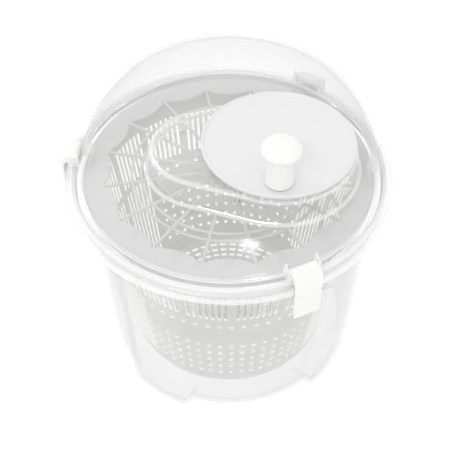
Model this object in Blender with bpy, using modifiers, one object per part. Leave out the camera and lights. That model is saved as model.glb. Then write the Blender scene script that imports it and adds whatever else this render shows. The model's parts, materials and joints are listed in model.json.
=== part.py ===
"""Hand-cranked salad spinner: clear bowl, grey basket with a web cover, geared lid, three clips, bail handle.

Sizes are in millimetres and become metres when a mesh is made. The origin is on the bowl's axis at the
surface it stands on. +X points to the crank's centre, -Y to the side where the knob rests, +Z up.
Azimuths are degrees counter-clockwise from +X.
"""
from math import atan2, cos, pi, radians, sin, sqrt, tau

import bmesh
import bpy
from mathutils import Matrix, Vector

MM = 0.001
SEG = 40                 # facets round a large round piece
GAP = 0.3                # clearance between neighbouring pieces

# Bowl
WALL = 2.0
LOBE_AZ = -33.5          # azimuth of one foot; the others follow at 90 degrees
PANEL_HALF = 31.0        # half the angle that one recessed panel covers
PANEL_EDGE = 5.0         # angle over which a panel's side slopes
FLOOR_Z = 8.8
FOOT_Z = WALL - 0.25     # inner face of a foot, so low that the ground plane trims its sole flat
PANEL_TOP_Z = 147.0
LIP_R = 119.5
LIP_Z = 176.0
PIVOT_R, PIVOT_TOP_Z = 3.4, 20.5

# Basket and its cover
BASKET_WALL = 1.8
BASKET_COLS = 40
BASKET_FLOOR_Z = 15.0
BASKET_LOW_R, BASKET_LOW_Z = 80.0, 21.0
BASKET_TOP_R, BASKET_TOP_Z = 99.6, 174.0
BASKET_LIP_Z = 179.3
HUB_COLLAR_Z = 24.0
WEB_RIBS = 16
WEB_RIB_W = 2.6
WEB_Z = 181.8
WEB_R = 108.0
HUB_R = 13.2

# Lid
LID_WALL = 1.9
LID_PLATE_Z = 184.8
LID_TOP_Z = 186.0
LID_RIM_R = 122.0
HOUSING_Z = 204.0
HOUSING_X = -18.0        # centre of the gear housing's narrow end
HOUSING_R0 = 42.0        # rounding of that end
HOUSING_R1 = 59.4        # rounding of the gear housing about the crank's axis
BASE_PLATE_Z = (183.2, 186.0)
SCREW_SPOTS = [(6.0, 37.0), (6.0, -37.0), (62.0, 44.0), (62.0, -44.0)]

# Gear train
MODULE = 1.44
DRIVE_TEETH, PINION_TEETH = 40, 10
CRANK_X = MODULE * (DRIVE_TEETH + PINION_TEETH) / 2
GEAR_Z = (190.0, 197.5)
SOCKET_HEX_R, LUG_HEX_R = 5.7, 5.2

# Crank and knob
DISC_R = 56.4
DISC_Z = (206.0, 208.5)
BOSS_R = 5.0
KNOB_ARM = 41.0          # from the crank's axis to the knob's axis, towards -Y
KNOB_SHIFT = -1.4        # and towards +X
KNOB_Z = (208.9, 244.0)
KNOB_R = 14.2

# Clips that hold the lid down
CLIP_AZ = [-65.0, 55.0, 175.0]
CLIP_R, CLIP_Z = 114.3, 189.8
CLIP_W = 20.0
EAR_T = 2.0
CLIP_PIN_R = 1.5

# Bail handle
BAIL_YAW = -5.0          # azimuth of the bail's right-hand pivot
BAIL_PIVOT_Z = 192.0
BAIL_A, BAIL_B = 107.8, 105.0
BAIL_WALL = 2.2
BAIL_LEAN = 13.0         # the bail's middle above the horizontal, folded back
BAIL_HALF_W = 20.5
BAIL_FLANGE = 4.5
BAIL_PIN_R = 2.6


# ---------------------------------------------------------------- scene and materials

def clear_scene():
    for old in list(bpy.data.objects):
        bpy.data.objects.remove(old, do_unlink=True)


def new_collection(name):
    collection = bpy.data.collections.new(name)
    bpy.context.scene.collection.children.link(collection)
    return collection


clear_scene()
PARTS = new_collection("salad_spinner")
CUTTERS = new_collection("cutters")


def plastic(name, colour, roughness, alpha=1.0, metallic=0.0):
    made = bpy.data.materials.new(name)
    made.use_nodes = True
    shader = made.node_tree.nodes["Principled BSDF"]
    shader.inputs["Base Color"].default_value = (*colour, 1.0)
    shader.inputs["Roughness"].default_value = roughness
    shader.inputs["Metallic"].default_value = metallic
    shader.inputs["Alpha"].default_value = alpha
    return made


def finish_of(name):
    """Colour, roughness, alpha and metallic share of one of the object's few finishes."""
    return {
        "clear": ((0.93, 0.94, 0.94), 0.08, 0.3, 0.0),
        "smoke": ((0.62, 0.64, 0.66), 0.25, 0.75, 0.0),
        "white": ((0.94, 0.94, 0.92), 0.35, 1.0, 0.0),
        "disc": ((0.84, 0.85, 0.86), 0.40, 1.0, 0.0),
        "acetal": ((0.88, 0.88, 0.86), 0.45, 1.0, 0.0),
        "seal": ((0.85, 0.86, 0.86), 0.55, 0.9, 0.0),
        "steel": ((0.62, 0.62, 0.63), 0.30, 1.0, 1.0),
    }[name]


def give(obj, finish):
    colour, roughness, alpha, metallic = finish_of(finish)
    obj.data.materials.clear()
    obj.data.materials.append(plastic(obj.name, colour, roughness, alpha, metallic))


# ---------------------------------------------------------------- building blocks

def mesh_object(name, verts, faces, finish=None, origin=(0.0, 0.0, 0.0)):
    """An object from millimetre vertices in world space, with its own origin where the joint is."""
    at = Vector(origin)
    mesh = bpy.data.meshes.new(name)
    mesh.from_pydata([(Vector(v) - at) * MM for v in verts], [], faces)
    mesh.validate()
    obj = bpy.data.objects.new(name, mesh)
    obj.location = at * MM
    if finish is None:
        CUTTERS.objects.link(obj)
        obj.hide_render = True
        obj.display_type = "WIRE"
    else:
        PARTS.objects.link(obj)
        give(obj, finish)
        shade(obj)
    return obj


def shade(obj, angle=35.0):
    obj.data.shade_smooth()
    obj.data.set_sharp_from_angle(angle=radians(angle))


def ring(radius, z, centre=(0.0, 0.0), count=SEG):
    return [(centre[0] + radius * cos(tau * i / count), centre[1] + radius * sin(tau * i / count), z)
            for i in range(count)]


def loft(loops, close=False, keep=None):
    """Vertices and faces between loops that run down the outer side; a one-point loop is a pole.

    keep(row, column) leaves a face out where it is false.
    """
    verts, starts, faces = [], [], []
    for loop in loops:
        starts.append(len(verts))
        verts.extend(loop)
    pairs = list(zip(range(len(loops) - 1), range(1, len(loops))))
    if close:
        pairs.append((len(loops) - 1, 0))
    for row, (a, b) in enumerate(pairs):
        count = max(len(loops[a]), len(loops[b]))
        for i in range(count):
            if keep is not None and not keep(row, i):
                continue
            j = (i + 1) % count
            corners = []
            for loop, index in ((a, i), (b, i), (b, j), (a, j)):
                vertex = starts[loop] + (index if len(loops[loop]) > 1 else 0)
                if vertex not in corners:
                    corners.append(vertex)
            faces.append(corners)
    return verts, faces


def capped(loops):
    """A loft between two end loops, with a flat cap on each."""
    verts, faces = loft(loops)
    count = len(loops[0])
    first = list(range(count))
    last = list(range(len(verts) - count, len(verts)))
    faces.append(first)
    faces.append(last[::-1])
    return verts, faces


def solidify(obj, thickness):
    wall = obj.modifiers.new("Wall", "SOLIDIFY")
    wall.thickness = thickness * MM
    wall.offset = -1.0
    wall.use_even_offset = True
    return wall


def turned(name, profile, finish, centre=(0.0, 0.0), count=SEG, closed=False):
    """A turned piece: profile of (radius, z) down the outer side, round a vertical axis at centre."""
    mesh = bpy.data.meshes.new(name)
    edges = [(i, i + 1) for i in range(len(profile) - 1)]
    if closed:
        edges.append((len(profile) - 1, 0))
    mesh.from_pydata([(r * MM, 0.0, z * MM) for r, z in profile], edges, [])
    obj = bpy.data.objects.new(name, mesh)
    obj.location = (centre[0] * MM, centre[1] * MM, 0.0)
    screw = obj.modifiers.new("Turn", "SCREW")
    screw.steps = screw.render_steps = count
    screw.use_merge_vertices = True
    screw.merge_threshold = 0.00001
    screw.use_smooth_shade = True
    PARTS.objects.link(obj)
    give(obj, finish)
    return obj


def evaluated_mesh(obj):
    graph = bpy.context.evaluated_depsgraph_get()
    return bpy.data.meshes.new_from_object(obj.evaluated_get(graph))


def flat(name, outlines, low, high, finish=None, frame=None, origin=(0.0, 0.0, 0.0)):
    """A flat piece: outlines in a plane, filled between low and high along the plane's normal.

    frame places the plane in millimetre world space. The first outline is the outside, the rest are holes.
    """
    curve = bpy.data.curves.new(name, "CURVE")
    curve.dimensions = "2D"
    curve.fill_mode = "BOTH"
    curve.extrude = (high - low) / 2 * MM
    for outline in outlines:
        spline = curve.splines.new("POLY")
        spline.points.add(len(outline) - 1)
        for point, (x, y) in zip(spline.points, outline):
            point.co = (x * MM, y * MM, 0.0, 1.0)
        spline.use_cyclic_u = True
    rough = bpy.data.objects.new(name + "_outline", curve)
    CUTTERS.objects.link(rough)
    bpy.context.view_layer.update()
    mesh = evaluated_mesh(rough)
    bpy.data.objects.remove(rough, do_unlink=True)
    lifted = Matrix.Translation((0.0, 0.0, (low + high) / 2 * MM))
    place = Matrix.Identity(4) if frame is None else frame.copy()
    place.translation = place.translation * MM
    mesh.transform(Matrix.Translation(-Vector(origin) * MM) @ place @ lifted)
    work = bmesh.new()
    work.from_mesh(mesh)
    bmesh.ops.remove_doubles(work, verts=work.verts, dist=0.000005)
    bmesh.ops.recalc_face_normals(work, faces=work.faces)
    work.to_mesh(mesh)
    work.free()
    mesh.name = name
    obj = bpy.data.objects.new(name, mesh)
    obj.location = Vector(origin) * MM
    if finish is None:
        CUTTERS.objects.link(obj)
        obj.hide_render = True
        obj.display_type = "WIRE"
    else:
        PARTS.objects.link(obj)
        give(obj, finish)
        shade(obj)
    return obj


def circle(radius, centre=(0.0, 0.0), count=24):
    return [(x, y) for x, y, _ in ring(radius, 0.0, centre, count)]


def rod(name, radius, low, high, frame, finish=None, count=16, origin=(0.0, 0.0, 0.0)):
    """A round bar along the frame's Z axis, from low to high."""
    place = frame.copy()
    place.translation = place.translation * MM
    work = bmesh.new()
    middle = Matrix.Translation((0.0, 0.0, (low + high) / 2 * MM))
    bmesh.ops.create_cone(work, cap_ends=True, segments=count, radius1=radius * MM, radius2=radius * MM,
                          depth=(high - low) * MM, matrix=place @ middle)
    bmesh.ops.translate(work, verts=work.verts, vec=-Vector(origin) * MM)
    mesh = bpy.data.meshes.new(name)
    work.to_mesh(mesh)
    work.free()
    obj = bpy.data.objects.new(name, mesh)
    obj.location = Vector(origin) * MM
    if finish is None:
        CUTTERS.objects.link(obj)
        obj.hide_render = True
        obj.display_type = "WIRE"
    else:
        PARTS.objects.link(obj)
        give(obj, finish)
        shade(obj)
    return obj


def joined(name, objects):
    """One cutter from several: their separate closed shells in a single mesh."""
    bpy.context.view_layer.update()
    work = bmesh.new()
    for obj in objects:
        mesh = evaluated_mesh(obj)
        mesh.transform(obj.matrix_world)
        work.from_mesh(mesh)
        bpy.data.objects.remove(obj, do_unlink=True)
    mesh = bpy.data.meshes.new(name)
    work.to_mesh(mesh)
    work.free()
    obj = bpy.data.objects.new(name, mesh)
    CUTTERS.objects.link(obj)
    obj.hide_render = True
    obj.display_type = "WIRE"
    return obj


def boolean(obj, tool, operation):
    cut = obj.modifiers.new(operation.title(), "BOOLEAN")
    cut.operation = operation
    cut.solver = "EXACT"
    cut.object = tool
    return cut


def radial_frame(azimuth, radius=0.0, z=0.0):
    """X outward, Y up, Z along the tangent, at a place on the rim."""
    a = radians(azimuth)
    out, up = Vector((cos(a), sin(a), 0.0)), Vector((0.0, 0.0, 1.0))
    side = out.cross(up)
    frame = Matrix((out, up, side)).transposed().to_4x4()
    frame.translation = out * radius + up * z
    return frame


def axial_frame(azimuth, z):
    """X along the tangent, Y up, Z outward, for what turns on the bail's axis."""
    a = radians(azimuth)
    out, up = Vector((cos(a), sin(a), 0.0)), Vector((0.0, 0.0, 1.0))
    frame = Matrix((up.cross(out), up, out)).transposed().to_4x4()
    frame.translation = up * z
    return frame


def smooth(t):
    t = min(1.0, max(0.0, t))
    return t * t * (3.0 - 2.0 * t)


# ---------------------------------------------------------------- bowl

def panel_share(azimuth):
    """1 inside one of the four recessed panels, 0 on a foot column, smooth between."""
    off = abs((azimuth - LOBE_AZ) % 90.0 - 45.0)
    return smooth((PANEL_HALF + PANEL_EDGE / 2 - off) / PANEL_EDGE)


def bowl_ring(column, panel):
    """A ring whose radius and height differ between the foot columns and the panels."""
    points = []
    for i in range(SEG):
        azimuth = 360.0 * i / SEG
        share = panel_share(azimuth)
        radius = column[0] + (panel[0] - column[0]) * share
        z = column[1] + (panel[1] - column[1]) * share
        points.append((radius * cos(radians(azimuth)), radius * sin(radians(azimuth)), z))
    return points


def make_bowl():
    """The bowl's inner face from the pivot out over the floor, feet, wall and lip."""
    inner = [
        [(0.0, 0.0, PIVOT_TOP_Z)],
        ring(PIVOT_R, PIVOT_TOP_Z - 0.8),
        ring(PIVOT_R + 2.6, FLOOR_Z + 0.4),
        ring(30.0, FLOOR_Z),
        ring(79.0, FLOOR_Z),
        bowl_ring((82.0, 6.0), (82.0, FLOOR_Z)),
        bowl_ring((85.6, FOOT_Z), (85.4, FLOOR_Z)),
        bowl_ring((95.6, FOOT_Z), (92.0, FLOOR_Z + 0.6)),
        bowl_ring((99.6, 5.0), (95.8, 11.6)),
        bowl_ring((102.8, 12.0), (97.2, 16.0)),
        bowl_ring((104.2, 34.0), (98.2, 34.0)),
        bowl_ring((106.2, 90.0), (100.4, 90.0)),
        bowl_ring((107.9, 138.0), (102.4, 138.0)),
        bowl_ring((108.3, PANEL_TOP_Z), (106.6, PANEL_TOP_Z)),
        ring(109.0, 154.0),
        ring(109.6, LIP_Z - 2.0),
        ring(111.2, LIP_Z),
        ring(LIP_R - 1.8, LIP_Z),
        ring(LIP_R, LIP_Z - 1.8),
        ring(LIP_R, LIP_Z - 8.0),
    ]
    verts, faces = loft(inner)
    bowl = mesh_object("bowl", verts, faces, "clear")
    solidify(bowl, WALL)
    boolean(bowl, rod("ground_plane", 2 * LIP_R, -20.0, 0.0, upright(0.0, 0.0)), "DIFFERENCE")


# ---------------------------------------------------------------- basket

def basket_radius(z):
    share = (z - BASKET_LOW_Z) / (BASKET_TOP_Z - BASKET_LOW_Z)
    return BASKET_LOW_R + (BASKET_TOP_R - BASKET_LOW_R) * share


def make_basket():
    """An open lattice: slotted wall in two bands, slotted floor, a collar for the bush."""
    bands = [(28.0, 92.0), (102.0, 166.0)]
    floor_slots = [(36.0, 50.0), (56.0, 70.0)]
    loops = [ring(10.0, HUB_COLLAR_Z, count=BASKET_COLS),
             ring(10.4, BASKET_FLOOR_Z + 2.0, count=BASKET_COLS),
             ring(31.0, BASKET_FLOOR_Z + 2.0, count=BASKET_COLS),
             ring(33.0, BASKET_FLOOR_Z, count=BASKET_COLS)]
    open_rows = []
    for low, high in floor_slots:
        loops.append(ring(low, BASKET_FLOOR_Z, count=BASKET_COLS))
        open_rows.append(len(loops) - 1)
        loops.append(ring(high, BASKET_FLOOR_Z, count=BASKET_COLS))
    loops.append(ring(75.5, BASKET_FLOOR_Z + 0.6, count=BASKET_COLS))
    loops.append(ring(BASKET_LOW_R, BASKET_LOW_Z, count=BASKET_COLS))
    for low, high in bands:
        loops.append(ring(basket_radius(low), low, count=BASKET_COLS))
        open_rows.append(len(loops) - 1)
        loops.append(ring(basket_radius(high), high, count=BASKET_COLS))
    loops.append(ring(BASKET_TOP_R, BASKET_TOP_Z, count=BASKET_COLS))
    loops.append(ring(101.2, BASKET_LIP_Z, count=BASKET_COLS))
    loops.append(ring(104.8, BASKET_LIP_Z, count=BASKET_COLS))
    loops.append(ring(105.4, BASKET_LIP_Z - 3.0, count=BASKET_COLS))
    verts, faces = loft(loops, keep=lambda row, column: row not in open_rows or column % 2 == 0)
    solidify(mesh_object("basket", verts, faces, "smoke"), BASKET_WALL)


def make_basket_bush():
    profile = [(0.0, 26.4), (8.4, 26.2), (9.7, 25.4), (9.7, HUB_COLLAR_Z + GAP), (7.8, HUB_COLLAR_Z + GAP),
               (7.8, 16.4), (5.3, 16.4), (5.3, PIVOT_TOP_Z + 0.7), (0.0, PIVOT_TOP_Z + 0.7)]
    turned("basket_bush", profile, "acetal", count=16)


# ---------------------------------------------------------------- web cover

def web_ring(radius, z, scallop=0.0):
    """A ring of the web: two corners at each rib, two between, with lobes inward between the ribs."""
    points = []
    sector = tau / WEB_RIBS
    for k in range(WEB_RIBS):
        rib = sector * (k + 0.5)
        half = WEB_RIB_W / 2 / radius
        spread = [-half, half]
        spread += [half + (sector - 2 * half) * share for share in (1 / 3, 2 / 3)]
        for angle in spread:
            between = max(0.0, (angle - half) / (sector - 2 * half))
            r = radius - scallop * sin(pi * between)
            points.append((r * cos(rib + angle), r * sin(rib + angle), z))
    return points


def make_web_cover():
    hoops = [(64.0, 66.2), (71.0, 73.2)]
    loops = [web_ring(HUB_R + 0.4, WEB_Z), web_ring(HUB_R + 5.0, WEB_Z)]
    solid_rows = [0]
    for low, high in hoops:
        loops.append(web_ring(low, WEB_Z))
        solid_rows.append(len(loops) - 1)
        loops.append(web_ring(high, WEB_Z))
    loops.append(web_ring(94.5, WEB_Z, scallop=6.5))
    first_band = len(loops) - 1
    loops += [web_ring(106.6, WEB_Z), web_ring(WEB_R, WEB_Z - 1.2), web_ring(WEB_R, WEB_Z - 7.6)]

    def keep(row, column):
        return row in solid_rows or row >= first_band or column % 4 == 0

    verts, faces = loft(loops, keep=keep)
    solidify(mesh_object("basket_cover", verts, faces, "smoke"), BASKET_WALL)


def hexagon(circumradius, z, count):
    """A hexagon drawn with count points, so that it lofts to a circle."""
    apothem = circumradius * cos(pi / 6)
    points = []
    for i in range(count):
        angle = tau * i / count
        within = (angle + pi / 6) % (pi / 3) - pi / 6
        radius = apothem / cos(within)
        points.append((radius * cos(angle), radius * sin(angle), z))
    return points


def make_cover_hub():
    """The socket that the pinion's lug drives, flanged under the web."""
    count = 24
    top, web_under = WEB_Z + 0.9, WEB_Z - BASKET_WALL - GAP
    loops = [ring(HUB_R, top, count=count), ring(HUB_R, web_under, count=count),
             ring(HUB_R + 3.3, web_under, count=count), ring(HUB_R + 3.3, web_under - 1.5, count=count),
             ring(HUB_R, web_under - 1.5, count=count), ring(HUB_R - 1.0, 172.6, count=count),
             hexagon(SOCKET_HEX_R, 172.6, count), hexagon(SOCKET_HEX_R, top, count)]
    verts, faces = loft(loops, close=True)
    mesh_object("cover_hub", verts, faces, "white")


# ---------------------------------------------------------------- lid

def housing_outline(grow, z, count=SEG):
    """The hull of the two housing circles, grown outward, with points at equal steps of its normal."""
    narrowing = HOUSING_R0 - HOUSING_R1
    turn = atan2(sqrt((CRANK_X - HOUSING_X) ** 2 - narrowing ** 2), narrowing)
    points = []
    for i in range(count):
        angle = tau * i / count
        facing = abs((angle + pi) % tau - pi)
        near_crank = facing < turn
        radius = (HOUSING_R1 if near_crank else HOUSING_R0) + grow
        points.append(((CRANK_X if near_crank else HOUSING_X) + radius * cos(angle), radius * sin(angle), z))
    return points


def clip_ears():
    """Pairs of pointed ears on the lid's rim, one pair for each clip."""
    outline = [(-4.6, -5.3), (3.4, -5.3), (3.8, 0.6), (2.4, 3.0), (-1.2, 4.4), (-3.4, 7.6), (-4.6, 2.4)]
    ears = []
    for index, azimuth in enumerate(CLIP_AZ):
        frame = radial_frame(azimuth, CLIP_R, CLIP_Z)
        inner = CLIP_W / 2 + 0.4
        for side, low in (("a", inner), ("b", -inner - EAR_T)):
            ears.append(flat(f"ear_{index}{side}", [outline], low, low + EAR_T, frame=frame))
    return ears


def bail_lugs():
    """Two upright lugs just inside the rim, which carry the bail's pivots."""
    base, crown = LID_PLATE_Z - 1.2 - BAIL_PIVOT_Z, 6.0
    arch = [(crown * cos(pi * i / 8), crown * sin(pi * i / 8)) for i in range(9)]
    outline = [(-8.0, base), (8.0, base)] + arch
    lugs = []
    for index, azimuth in enumerate((BAIL_YAW, BAIL_YAW + 180.0)):
        lugs.append(flat(f"lug_{index}", [outline], 102.5, 104.8, frame=axial_frame(azimuth, BAIL_PIVOT_Z)))
    return lugs


def upright(x, y):
    return Matrix.Translation((x, y, 0.0))


def make_lid():
    """The lid's outer face, from the crank's hole over the gear housing and plate to the rim's edge."""
    crank = (CRANK_X, 0.0)
    outer = [
        ring(8.1, HOUSING_Z, crank),
        housing_outline(-5.0, HOUSING_Z),
        housing_outline(-2.2, HOUSING_Z - 0.8),
        housing_outline(-1.2, HOUSING_Z - 3.2),
        housing_outline(-0.4, 189.0),
        housing_outline(0.6, 186.2),
        housing_outline(2.3, LID_PLATE_Z),
        ring(106.6, LID_PLATE_Z),
        ring(108.3, LID_PLATE_Z + 0.2),
        ring(109.4, LID_TOP_Z),
        ring(118.2, LID_TOP_Z),
        ring(119.6, LID_TOP_Z - 1.4),
        ring(120.0, 181.2),
        ring(121.6, 180.4),
        ring(LID_RIM_R, 175.2),
    ]
    verts, faces = loft(outer)
    lid = mesh_object("lid", verts, faces, "clear")
    solidify(lid, LID_WALL)
    bosses = clip_ears() + bail_lugs()
    bores = []
    for x, y in SCREW_SPOTS:
        bosses.append(rod("boss", 3.4, BASE_PLATE_Z[1] + GAP, HOUSING_Z - 1.0, upright(x, y)))
        bores.append(rod("boss_bore", 1.4, BASE_PLATE_Z[1] - 1.0, 199.0, upright(x, y), count=12))
    bosses.append(rod("pinion_boss", 5.6, GEAR_Z[1] + 0.8, HOUSING_Z - 1.0, upright(0.0, 0.0)))
    bores.append(rod("pinion_bore", 3.4, GEAR_Z[1] - 1.0, 201.9, upright(0.0, 0.0)))
    for azimuth in CLIP_AZ:
        frame = radial_frame(azimuth, CLIP_R, CLIP_Z)
        bores.append(rod("ear_bore", CLIP_PIN_R + 0.3, -15.0, 15.0, frame, count=12))
    for azimuth in (BAIL_YAW, BAIL_YAW + 180.0):
        frame = axial_frame(azimuth, BAIL_PIVOT_Z)
        bores.append(rod("lug_bore", BAIL_PIN_R + 0.3, 101.0, 107.0, frame, count=16))
    boolean(lid, joined("lid_bosses", bosses), "UNION")
    boolean(lid, joined("lid_bores", bores), "DIFFERENCE")


def make_gasket():
    low, high = LIP_Z + GAP, 183.2
    profile = [(113.4, high), (116.6, high), (117.4, low), (112.6, low)]
    turned("lid_gasket", profile, "seal", closed=True)


def make_base_plate():
    """The plate that closes the gear housing from below, with counterbored screw holes."""
    outline = [(x, y) for x, y, _ in housing_outline(-3.6, 0.0)]
    low, high = BASE_PLATE_Z
    plate = flat("gear_base_plate", [outline, circle(6.9)], low, high, "clear")
    cuts = []
    for x, y in SCREW_SPOTS:
        cuts.append(rod("screw_hole", 1.6, low - 1.0, high + 1.0, upright(x, y), count=12))
        cuts.append(rod("screw_head_seat", 3.0, low - 1.0, low + 1.7, upright(x, y), count=12))
    boolean(plate, joined("plate_through_holes", cuts[0::2]), "DIFFERENCE")
    boolean(plate, joined("plate_head_seats", cuts[1::2]), "DIFFERENCE")


def make_gear_screws():
    low = BASE_PLATE_Z[0] + 0.2
    profile = [(0.0, 197.0), (0.6, 196.6), (1.15, 195.0), (1.15, low + 1.2), (2.7, low + 1.2),
               (2.7, low), (0.9, low), (0.6, low + 0.6), (0.0, low + 0.6)]
    for index, spot in enumerate(SCREW_SPOTS, start=1):
        turned(f"gear_screw_{index}", profile, "steel", centre=spot, count=10)


# ---------------------------------------------------------------- gear train and crank

def gear_outline(teeth, phase):
    """Blunt, narrow teeth, so that a straight-sided pair runs through its mesh with backlash."""
    pitch = MODULE * teeth / 2
    root, tip = pitch - 0.95 * MODULE, pitch + 0.6 * MODULE
    root_half, tip_half = 1.03, 0.45
    points = []
    for k in range(teeth):
        middle = phase + tau * k / teeth
        for radius, side in ((root, -root_half), (tip, -tip_half), (tip, tip_half), (root, root_half)):
            angle = middle + side / radius
            points.append((radius * cos(angle), radius * sin(angle)))
    return points


def make_gears():
    low, high = GEAR_Z
    flat("drive_gear", [gear_outline(DRIVE_TEETH, 0.0), circle(BOSS_R + GAP, count=20)], low, high, "acetal",
         frame=upright(CRANK_X, 0.0), origin=(CRANK_X, 0.0, 0.0))
    teeth = gear_outline(PINION_TEETH, pi / PINION_TEETH)
    count = len(teeth)
    loops = [ring(3.0, 201.4, count=count), ring(3.0, high, count=count),
             [(x, y, high) for x, y in teeth], [(x, y, low) for x, y in teeth],
             ring(5.6, low, count=count), ring(5.6, 183.0, count=count),
             hexagon(LUG_HEX_R, 183.0, count), hexagon(LUG_HEX_R, 174.6, count)]
    verts, faces = capped(loops)
    mesh_object("pinion", verts, faces, "acetal")


def make_crank():
    crank = (CRANK_X, 0.0)
    low, high = DISC_Z
    profile = [(0.0, high), (DISC_R - 2.0, high), (DISC_R - 1.5, high + 0.9), (DISC_R - 0.5, high + 0.9),
               (DISC_R, high + 0.4), (DISC_R, low + 0.5), (DISC_R - 0.6, low), (BOSS_R, low),
               (BOSS_R, 189.2), (1.9, 189.2), (1.9, 201.0), (0.0, 201.0)]
    disc = turned("crank_disc", profile, "disc", centre=crank)
    pin_at = (CRANK_X + KNOB_SHIFT, -KNOB_ARM)
    boolean(disc, rod("knob_pin_bore", 3.3, low - 2.0, high + 3.0, upright(*pin_at)), "DIFFERENCE")

    bush = [(5.4, HOUSING_Z + 1.6), (10.0, HOUSING_Z + 1.6), (10.4, HOUSING_Z + 1.2),
            (10.4, HOUSING_Z + GAP), (7.7, HOUSING_Z + GAP), (7.7, 199.0), (5.4, 199.0)]
    turned("crank_bush", bush, "acetal", centre=crank, count=20, closed=True)

    washer = [(2.0, 188.9), (8.0, 188.9), (8.0, 187.9), (2.0, 187.9)]
    turned("crank_washer", washer, "steel", centre=crank, count=16, closed=True)

    screw = [(0.0, 200.4), (0.8, 200.0), (1.55, 198.0), (1.55, 187.6), (3.6, 187.6), (3.6, 186.8),
             (2.8, 186.3), (1.2, 186.3), (0.9, 187.0), (0.0, 187.0)]
    turned("crank_screw", screw, "steel", centre=crank, count=12)

    pin = [(0.0, 238.0), (2.4, 238.0), (3.0, 237.2), (3.0, low - GAP), (5.6, low - GAP),
           (5.6, HOUSING_Z + 0.4), (0.0, HOUSING_Z + 0.4)]
    turned("knob_pin", pin, "steel", centre=pin_at, count=20)

    low, high = KNOB_Z
    knob = [(0.0, high), (6.0, high - 0.2), (11.0, high - 1.3), (13.2, high - 3.2), (KNOB_R, high - 5.6),
            (13.6, high - 7.8), (11.6, high - 9.6), (9.2, high - 10.6), (8.9, high - 16.0),
            (9.6, low + 6.0), (10.4, low + 0.6), (9.8, low), (3.35, low), (3.35, 238.6), (0.0, 238.6)]
    turned("knob", knob, "white", centre=pin_at, count=24)


# ---------------------------------------------------------------- clips

def clip_outline():
    """The clip's side view about its pin: barrel, arm over the rim, crease, flared thumb pad, hook."""
    barrel = 3.2
    round_end = [(barrel * cos(radians(a)), barrel * sin(radians(a))) for a in range(270, 89, -30)]
    outside = [(4.6, 3.0), (7.6, 1.9), (9.6, -0.4), (10.5, -4.0), (10.6, -9.0), (10.0, -14.6),
               (10.9, -16.2), (11.2, -35.8), (10.7, -36.8), (9.2, -36.4)]
    inside = [(8.5, -27.2), (5.9, -26.6), (5.9, -24.8), (8.3, -22.8), (8.3, -9.0), (7.7, -5.4),
              (5.9, -3.0), (2.6, -2.7)]
    return round_end + outside + inside


def make_clips():
    for index, azimuth in enumerate(CLIP_AZ, start=1):
        frame = radial_frame(azimuth, CLIP_R, CLIP_Z)
        at = tuple(frame.translation)
        bore = circle(CLIP_PIN_R + GAP, count=12)
        flat(f"clip_{index}", [clip_outline(), bore], -CLIP_W / 2, CLIP_W / 2, "white", frame=frame, origin=at)
        rod(f"clip_pin_{index}", CLIP_PIN_R, -CLIP_W / 2 - 2.6, CLIP_W / 2 + 2.6, frame, "steel", count=12,
            origin=at)


# ---------------------------------------------------------------- bail handle

def bail_section(x, y, facing, half_width, flange):
    """Seven points across the strap: two flanges turned in, a slightly crowned outer face."""
    out = Vector((cos(facing), sin(facing), 0.0))
    points = []
    for share, depth in ((-1.0, flange), (-1.0, 0.0), (-0.5, 0.0), (0.0, 0.0), (0.5, 0.0), (1.0, 0.0), (1.0, flange)):
        across = share * half_width
        inward = depth + across ** 2 / (2 * BAIL_A)
        points.append(Vector((x, y, across)) - out * inward)
    return points


def bail_sections():
    sections = [bail_section(BAIL_A, -4.9, 0.0, 2.3, 0.0), bail_section(BAIL_A, -3.1, 0.0, 4.2, 0.0)]
    steps = 24
    for i in range(steps + 1):
        angle = pi * i / steps
        rise = sin(angle)
        half_width = 5.2 + (BAIL_HALF_W - 5.2) * smooth(rise / 0.85)
        flange = 0.05 + BAIL_FLANGE * smooth((rise - 0.25) / 0.4)
        sections.append(bail_section(BAIL_A * cos(angle), BAIL_B * rise, angle, half_width, flange))
    sections.append(bail_section(-BAIL_A, -3.1, pi, 4.2, 0.0))
    sections.append(bail_section(-BAIL_A, -4.9, pi, 2.3, 0.0))
    return sections


def make_bail():
    """The strap in its own plane, then leant back about the pivots and turned to its azimuth."""
    sections = bail_sections()
    across = len(sections[0])
    place = (Matrix.Translation((0.0, 0.0, BAIL_PIVOT_Z)) @ Matrix.Rotation(radians(BAIL_YAW), 4, "Z")
             @ Matrix.Rotation(radians(BAIL_LEAN), 4, "X"))
    verts = [place @ point for section in sections for point in section]
    faces = []
    for i in range(len(sections) - 1):
        for j in range(across - 1):
            a, b = i * across + j, (i + 1) * across + j
            faces.append((a, b, b + 1, a + 1))
    bail = mesh_object("carry_handle", verts, faces, "clear", origin=(0.0, 0.0, BAIL_PIVOT_Z))
    solidify(bail, BAIL_WALL).use_even_offset = False
    bores = []
    for azimuth in (BAIL_YAW, BAIL_YAW + 180.0):
        frame = axial_frame(azimuth, BAIL_PIVOT_Z)
        bores.append(rod("bail_bore", BAIL_PIN_R + 0.3, 103.0, 110.0, frame))
    boolean(bail, joined("bail_bores", bores), "DIFFERENCE")


def make_bail_pivots():
    """A headed rivet through each lug and the bail's eye."""
    rivet = [(0.0, 109.2), (3.4, 109.2), (4.2, 108.7), (4.2, 108.1), (BAIL_PIN_R, 108.1),
             (BAIL_PIN_R, 102.2), (4.2, 102.2), (4.2, 101.5), (3.6, 101.0), (0.0, 101.0)]
    for index, azimuth in enumerate((BAIL_YAW, BAIL_YAW + 180.0), start=1):
        pivot = turned(f"handle_pivot_{index}", rivet, "steel", count=12)
        place = axial_frame(azimuth, BAIL_PIVOT_Z)
        place.translation = place.translation * MM
        pivot.matrix_world = place


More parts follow.
